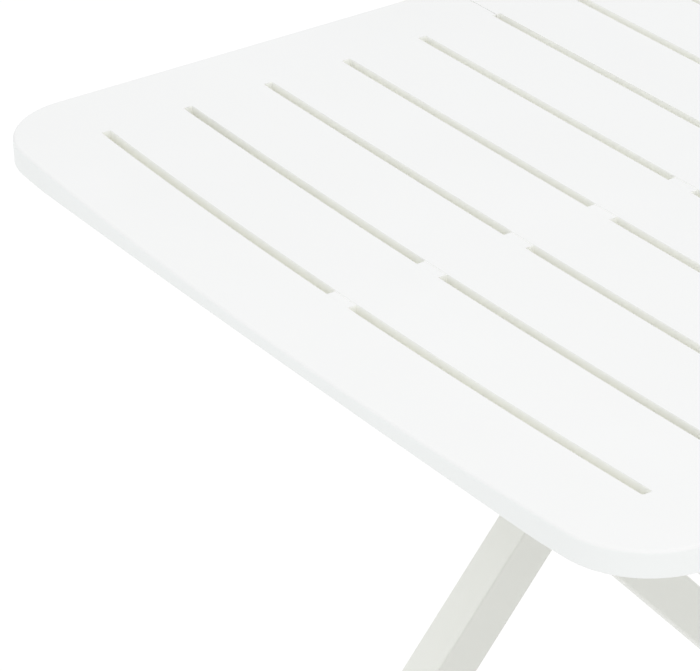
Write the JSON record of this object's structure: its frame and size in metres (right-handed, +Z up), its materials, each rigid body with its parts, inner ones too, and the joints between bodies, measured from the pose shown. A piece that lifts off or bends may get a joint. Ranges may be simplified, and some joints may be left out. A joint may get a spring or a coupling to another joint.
{
  "type": "folding picnic table",
  "caption": "White plastic folding table: slatted top in two hinged halves with rounded corners, on two crossing leg frames.",
  "frame": {"origin": "on the floor, under the middle of the top, table open", "axes": "+Z up, +X along the slots and the seam, +Y across the seam from the near half to the far half"},
  "size_m": [0.72, 0.807, 0.7],
  "materials": {
    "top_white": "satin moulded polypropylene, fine grain",
    "leg_white": "satin moulded polypropylene",
    "foot_white": "matt moulded shoe",
    "fitting_white": "satin moulded fitting",
    "pin_steel": "plain zinc plated"
  },
  "bodies": {
    "outer_frame": {"outer_leg_left": "leg_white", "outer_leg_right": "leg_white", "outer_foot_left": "foot_white", "outer_foot_right": "foot_white", "outer_pivot_cap_left": "fitting_white", "outer_pivot_cap_right": "fitting_white", "outer_low_bar": "leg_white", "outer_high_bar": "leg_white"},
    "near_half": {"near_top": "top_white", "near_bracket_left": "fitting_white", "near_bracket_right": "fitting_white", "near_pin_left": "pin_steel", "near_pin_right": "pin_steel", "near_seam_leaf_left": "fitting_white", "near_seam_leaf_right": "fitting_white", "seam_pin_left": "pin_steel", "seam_pin_right": "pin_steel"},
    "far_half": {"far_top": "top_white", "far_bracket_left": "fitting_white", "far_bracket_right": "fitting_white", "far_pin_left": "pin_steel", "far_pin_right": "pin_steel", "far_seam_leaf_left": "fitting_white", "far_seam_leaf_right": "fitting_white"},
    "inner_frame": {"inner_leg_left": "leg_white", "inner_leg_right": "leg_white", "inner_foot_left": "foot_white", "inner_foot_right": "foot_white", "inner_pivot_cap_left": "fitting_white", "inner_pivot_cap_right": "fitting_white", "inner_low_bar": "leg_white", "inner_high_bar": "leg_white"}
  },
  "joints": [
    {"name": "near_top_hinge", "type": "hinge", "parent": "outer_frame", "child": "near_half", "pos_m": [0, -0.285, 0.66], "axis": [1, 0, 0], "range_deg": [0, 122.5]},
    {"name": "seam_hinge", "type": "hinge", "parent": "near_half", "child": "far_half", "pos_m": [0, 0, 0.67], "axis": [1, 0, 0], "range_deg": [-168, 0]},
    {"name": "far_top_hinge", "type": "hinge", "parent": "far_half", "child": "inner_frame", "pos_m": [0, 0.285, 0.66], "axis": [1, 0, 0], "range_deg": [0, 122.5]}
  ],
  "couplings": [
    {"joint": "seam_hinge", "follows": "near_top_hinge", "ratio": -1.3714},
    {"joint": "far_top_hinge", "follows": "near_top_hinge", "ratio": 1}
  ]
}
